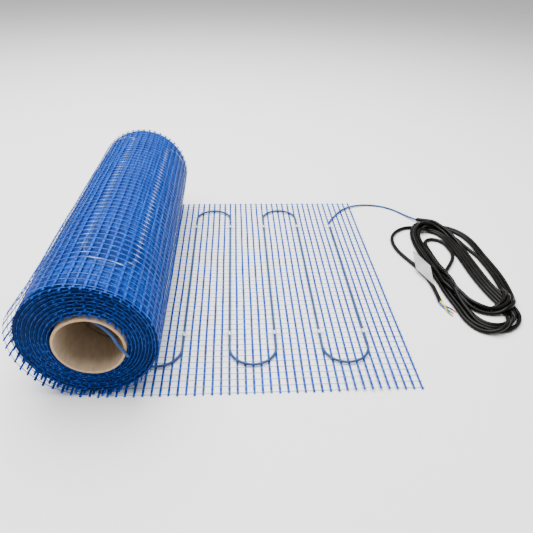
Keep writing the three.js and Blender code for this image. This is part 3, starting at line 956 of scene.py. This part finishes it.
def cableOnSheet():
    # Distance along the sheet and Y, from the tail's start to the last leg on the roll.
    bend = sheet["pitch"] * cable["strandsPerBend"] / 2
    flatLegs = [legOnSheet(i) for i in range(cable["flatLegs"])]
    turned = [-roll["contact"] + rollRadius(250) * math.radians(a) for a in cable["rollAngles"]]
    legs = flatLegs + turned
    pieces = [np.array([[legs[0], sheet["width"] - cable["tailSetback"]]])]
    for i in range(len(legs) - 1):
        if i % 2 == 0:
            onRollYet = (i + 1 - cable["flatLegs"]) // 2
            apex = cable["frontApex"] if i < 5 else cable["rollFrontApexes"][onRollYet]
            start = apex + bend
        else:
            apex = sheet["width"] - cable["backApex"]
            start = apex - bend
        pieces.append(bendShape(legs[i], legs[i + 1], start, apex))
    pieces.append(np.array([[legs[-1], 250.0]]))
    route = np.concatenate(pieces)
    return evenly(np.column_stack([route, np.zeros(len(route))]), 4)[:, :2]


def nearCable(angle, y):
    # 1 over the cable on the outermost turn, falling to 0 three millimetres away
    route = cableOnSheet() + (roll["contact"], 0)
    away = np.stack([angle * rollRadius(250), y], -1)[..., None, :] - route
    gap = np.linalg.norm(away, axis=-1).min(-1)
    return np.where(angle < 6, 1 - smooth((gap - 0.8) / 2.6), 0)


def woundStrands(angles, stations, loose):
    # Strands of the roll, each with its own small turn and lift out of the round.
    count = len(angles)
    y = np.broadcast_to(stations, (count, len(stations))).copy()
    front, back = turnEnds(angles)
    start = (front + rng.uniform(-1.5, 1.5, count))[:, None]
    end = (sheet["width"] - back - rng.uniform(0, 1.5, count))[:, None]
    low, high = stations.min(), stations.max()
    y = np.where(low < 60, start + (y - low) * (high - start) / (high - low), y)
    low = y.min(1, keepdims=True)
    y = np.where(high > 440, low + (y - low) * (end - low) / (high - low), y)
    angle = angles[:, None] + rng.normal(0, 0.004, (count, 1)) + 0.006 * ripple(
        y / 40, angles[:, None] * 9, 0.9
    )
    unevenness = rng.normal(0, 0.12, y.shape)
    inward = 1.65 - strand["level"] + bulging(angle, y, loose, unevenness)
    path, outward = onRoll(angle, y, inward)
    width = strand["width"] * (1 + 0.12 * ripple(y / 9, angle * 20, 2.2))
    return bars(path, outward, width, strand["height"])


def woundThreads(rows, fromAngle, toAngle, perCell, loose):
    # Threads of the roll, on the outside of the strands, dipping a little between them.
    places = strandAngles[(strandAngles >= fromAngle - 0.2) & (strandAngles <= toAngle + 0.2)]
    grid = np.interp(
        np.arange(0, len(places) - 1 + 1e-9, 1 / perCell), np.arange(len(places)), places
    )
    grid = grid[(grid >= fromAngle) & (grid <= toAngle)]
    angle = np.broadcast_to(grid, (len(rows), len(grid)))
    y = rows[:, None] + 0.35 * ripple(angle * 7, rows[:, None] / 8, 1.7)
    front, back = turnEnds(angle)
    share = y / sheet["width"]
    y = y + front * (1 - share) - back * share
    path, outward = onRoll(angle, y, 0.35 + bulging(angle, y, loose))
    points, quads = bars(path, outward, thread["width"], thread["height"])
    return points, quads, np.repeat(nearCable(angle, y).ravel(), 4)


def rollPieces():
    outer = strandAngles[strandAngles < 3 * math.pi]
    middle = strandAngles[(strandAngles >= 3 * math.pi) & (strandAngles < 5 * math.pi)]
    deep = strandAngles[strandAngles >= 5 * math.pi]
    last = strandAngles[-1]
    frontRows, backRows = threadY[:3], threadY[-3:]
    strands = joinParts(
        [
            woundStrands(outer, strandStations(2), 1.0),
            woundStrands(middle, strandStations(1), 0.8),
            woundStrands(deep, np.linspace(0, 30, 6), 0.7),
            woundStrands(deep, np.linspace(470, 500, 5), 0.5),
        ]
    )
    threads = [
        woundThreads(threadY, 0.0, 2 * math.pi, 2, 1.0),
        woundThreads(threadY, 2 * math.pi, 5 * math.pi, 1, 1.0),
        woundThreads(frontRows, 5 * math.pi, last, 1, 0.7),
        woundThreads(backRows, 5 * math.pi, last, 1, 0.5),
    ]
    overCable = np.concatenate([part[2] for part in threads])
    return strands, joinParts([part[:2] for part in threads]), overCable


windings = dict(outerTurn=1.2, frontEdge=11, backEdge=497, step=7, sides=240, ridge=1.3)


def makeWindings():
    # The deeper turns as one closed ring: a profile of turn number and Y is carried round
    # the roll. Its radius is that of the named turn, and on both ends Y swings by the
    # ridge from one turn to the next.
    first, last = windings["outerTurn"], roll["turns"] - 0.3
    turns = np.arange(last, first, -0.25)
    side = np.arange(windings["frontEdge"], windings["backEdge"] + 1e-6, windings["step"])
    near = windings["frontEdge"] + windings["ridge"] * np.sin(turns * 2 * math.pi)
    far = windings["backEdge"] + windings["ridge"] * np.sin(turns * 2 * math.pi)
    turn = np.concatenate([turns, np.full(len(side), first), turns[::-1]])
    edge = np.concatenate([near, side, far[::-1]])
    onEnd = np.concatenate([np.ones(len(near)), np.zeros(len(side)), np.ones(len(far))])
    angle = np.linspace(0, 2 * math.pi, windings["sides"], endpoint=False)
    share = ((turn - 1) / (roll["turns"] - 1))[:, None]
    y = np.broadcast_to(edge[:, None], (len(turn), len(angle)))
    dense = rollRadius(y) - gapBelowFirst(angle, y)
    radius = dense + (roll["innerRadius"] - dense) * share
    swell = 0.5 * ripple(y / 24, angle * 11, 2.0) * (1 - share)
    points, _ = aroundCore(np.broadcast_to(angle, y.shape), y, radius + swell)
    values = {"ends": np.broadcast_to(onEnd[:, None], y.shape)}
    return newPiece("windings", points, closedGrid(y.shape), values=values)


strandBlue = strandFinish()
flatStrandPiece = newPiece("flatStrands", *flatStrands())
flatThreadPiece = newPiece("flatThreads", *flatThreads())
rollStrandParts, rollThreadParts, overCable = rollPieces()
rollStrandPiece = newPiece("rollStrands", *rollStrandParts)
rollThreadPiece = newPiece("rollThreads", *rollThreadParts, values={"overCable": overCable})
for piece in (flatStrandPiece, rollStrandPiece):
    dress(piece, strandBlue)
dress(flatThreadPiece, threadFinish())
dress(rollThreadPiece, rollThreadFinish())
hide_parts(*(f"mesh_panel_{i}" for i in range(1, 5)))
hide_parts("mesh_roll")
# the deeper turns as one closed body, painted dark: painted shade of the inner turns
dress(makeWindings(), woundShadeFinish())
meshPieces = (flatStrandPiece, rollStrandPiece, rollThreadPiece)
print("mesh", [(piece.name, len(piece.data.polygons)) for piece in meshPieces])


def makeCore():
    # A profile of radius and Y, with rounded rims, turned round the core's axis.
    inner, outer = core["bore"] / 2, core["bore"] / 2 + core["wall"]
    near, far = core["setback"], core["setback"] + core["length"]
    bevel, inset = core["bevel"], core["inset"]
    profile = [
        (inner, near + bevel), (inner + 0.15, near + 0.15), (inner + bevel, near),
        (outer - bevel, near), (outer - 0.15, near + 0.15), (outer, near + bevel),
        *((outer, y) for y in np.linspace(near + inset, far - inset, 9)),
        (outer, far - bevel), (outer - 0.15, far - 0.15), (outer - bevel, far),
        (inner + bevel, far), (inner + 0.15, far - 0.15), (inner, far - bevel),
        *((inner, y) for y in np.linspace(far - inset, near + inset, 9)),
    ]
    profile = np.array(profile, float)
    sides = core["sides"]
    angle = np.arange(sides) * 2 * math.pi / sides
    wobble = 0.18 * np.sin(3 * angle) + 0.12 * np.sin(5 * angle + 1)
    radius = profile[:, :1] + wobble * np.ones((len(profile), 1))
    y = np.broadcast_to(profile[:, 1:], radius.shape)
    points = np.stack(
        [core["x"] + radius * np.cos(angle), y, core["height"] + radius * np.sin(angle)], -1
    )
    rim = ((y < near + 0.45) | (y > far - 0.45)).astype(float)
    return newPiece("cardboardCore", points, closedGrid(y.shape), values={"rim": rim})


corePiece = dress(makeCore(), cardboardFinish())
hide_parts("cardboard_core")


def cableInSpace(route, height):
    # Flat where the distance is less than the roll's line of contact, then wound.
    s, y = route[:, 0], route[:, 1]
    angle = np.clip((s + roll["contact"]) / rollRadius(250), 0, cable["lastAngle"])
    wound, outward = onRoll(angle, y, np.full_like(y, height))
    flat = onFloor(-s, y, height)
    onFlat = (s < -roll["contact"])[:, None]
    lean = np.where(onFlat, (0.0, 0.0, 1.0), -outward)
    return np.where(onFlat, flat, wound), lean


cablePath, cableLean = cableInSpace(cableOnSheet(), cable["inward"])
cableSlate = cableFinish()
cablePiece = tubePiece("heatingCable", cablePath, cable["diameter"] / 2, 12, cableLean)
dress(cablePiece, cableSlate)
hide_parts("heating_cable")

cableEnd = dict(
    points=[
        (5.55, -25, 4.2), (5.55, -19, -0.2), (2.6, -10, -2.6), (-0.8, -3, -2.7),
        (-4.8, 9, -1.6), (-5.8, 25, 0), (-5.6, 45, 1.6), (-4.8, 66, 4.4), (-3.6, 90, 10),
        (-3, 116, 19), (-3, 140, 33),
    ],
)


def makeCableEnd():
    # Each point is a distance out from the bore's wall, degrees above the horizontal,
    # and a place behind the core's rim.
    out, degrees, depth = np.array(cableEnd["points"], float).T
    angle, radius = np.radians(degrees), core["bore"] / 2 + out
    centre = np.array([core["x"], 0, core["height"]])
    aside = np.stack([np.cos(angle), np.zeros_like(angle), np.sin(angle)], 1)
    points = centre + radius[:, None] * aside
    points[:, 1] = core["setback"] + depth
    line = splineThrough(points, 2)
    lean = unit((line - centre) * (1, 0, 1))
    return tubePiece("heatingCableEnd", line, cable["diameter"] / 2, 16, lean)


endPiece = dress(makeCableEnd(), cableSlate)
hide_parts("heating_cable_end")
print("cable")

# Fixing tapes: thin films that follow the mesh and rise over the cable
tape = dict(
    length=16, width=7, thickness=0.25, frontOffset=103, backOffset=96, columns=34, rows=8,
    base=1.55,
)


def tapeShape(centreS, centreY, tint):
    # Across the cable the film's height is the base, plus a hump as high as the cable
    # that falls off within two of its radii. The back face is the same, one wall lower.
    u = np.linspace(-0.5, 0.5, tape["columns"])[:, None] * tape["length"]
    v = np.linspace(-0.5, 0.5, tape["rows"])[None] * tape["width"]
    radius = cable["diameter"] / 2
    dome = np.sqrt(np.clip(1 - (u / (radius + 0.35)) ** 2, 0, None))
    skirt = np.exp(-((np.abs(u) / (radius + 0.9)) ** 4))
    hump = np.maximum(dome, 0.55 * skirt) * (cable["diameter"] + 0.45) * np.ones_like(v)
    s = centreS + u + 0.15 * v
    y = centreY + v + 0.03 * u + 0.25 * ripple(u / 2.5, v, tint)
    height = tape["base"] + hump + 0.12 * (1 + ripple(u / 1.7, v / 2, tint + 1))
    return s, y, height, hump / (cable["diameter"] + 0.45)


def makeTape(name, centreS, centreY, tint):
    s, y, height, share = tapeShape(centreS, centreY, tint)
    faces = []
    for drop in (0, tape["thickness"]):
        if centreS > -roll["contact"]:
            angle = (s + roll["contact"]) / rollRadius(250)
            face, _ = onRoll(angle, y, height - drop - 0.2)
        else:
            face = onFloor(-s, y, height - drop)
        faces.append(face)
    points = np.concatenate([face.reshape(-1, 3) for face in faces])
    # lift is the hump's share, which also sets the film's painted highlight
    values = {"lift": np.tile(share.ravel(), 2)}
    return newPiece(name, points, slabFaces(share.shape), values=values)


tapeClear = tapeFinish()
for leg in range(cable["flatLegs"]):
    for end, y in enumerate((tape["frontOffset"], sheet["width"] - tape["backOffset"])):
        number = 2 * leg + end + 1
        y += tape["width"] / 2 * (1 if end == 0 else -1)
        made = makeTape(f"fixingTape{number}", legOnSheet(leg), y, 0.7 * number)
        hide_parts(f"fixing_tape_{number}")
        dress(made, tapeClear)
print("tapes")

flexBlack = flexFinish()
dress(flexPiece, flexBlack)
dress(splicePiece, flexBlack)
dress(tailPiece, cableSlate)
dress(labelPiece, labelFinish())
wireFinishes = [
    wireFinish("wireBlue", (0.0, 0.09, 0.5)),
    wireFinish("wireEarth", (0.03, 0.22, 0.01), (0.75, 0.55, 0.0)),
    wireFinish("wireBrown", (0.13, 0.04, 0.012)),
]
copperBare = copperFinish()
for i, slot in enumerate(("blue_insulation", "earth_insulation", "brown_insulation")):
    dress(onFlex[2 * i], wireFinishes[i])
    dress(onFlex[2 * i + 1], copperBare)

# Floor and light
studio = dict(
    floorSize=24, floorColour=(0.92, 0.92, 0.92), world=0.55,
    lamps=[
        dict(name="overhead", place=(-0.2, 0.3, 1.7), target=(0, 0, 0), size=2.2, power=125),
        dict(name="front", place=(0.6, -1.5, 1.0), target=(0, 0, 0.05), size=1.2, power=3),
    ],
)


def makeStudio():
    half = studio["floorSize"] / 2
    mesh = bpy.data.meshes.new("floor")
    corners = [(-half, -half, 0), (half, -half, 0), (half, half, 0), (-half, half, 0)]
    mesh.from_pydata(corners, [], [(0, 1, 2, 3)])
    floor = bpy.data.objects.new("floor", mesh)
    bpy.context.scene.collection.objects.link(floor)
    paint = Finish("floorPale", Specular_IOR_Level=0.2)
    paint.set(Base_Color=(*studio["floorColour"], 1), Roughness=paint.noise(3, 1) * 0.1 + 0.7)
    floor.data.materials.append(paint.material)
    for lamp in studio["lamps"]:
        light = bpy.data.lights.new(lamp["name"], "AREA")
        light.size, light.energy = lamp["size"], lamp["power"]
        back = unit(np.subtract(lamp["place"], lamp["target"]))
        right = unit(np.cross((0, 1, 0.01), back))
        aim(bpy.data.objects.new(lamp["name"], light), lamp["place"], right, back)
    world = bpy.data.worlds.new("studio")
    world.use_nodes = True
    world.node_tree.nodes["Background"].inputs[0].default_value = (1, 1, 1, 1)
    world.node_tree.nodes["Background"].inputs[1].default_value = studio["world"]
    bpy.context.scene.world = world


makeStudio()
print("studio")
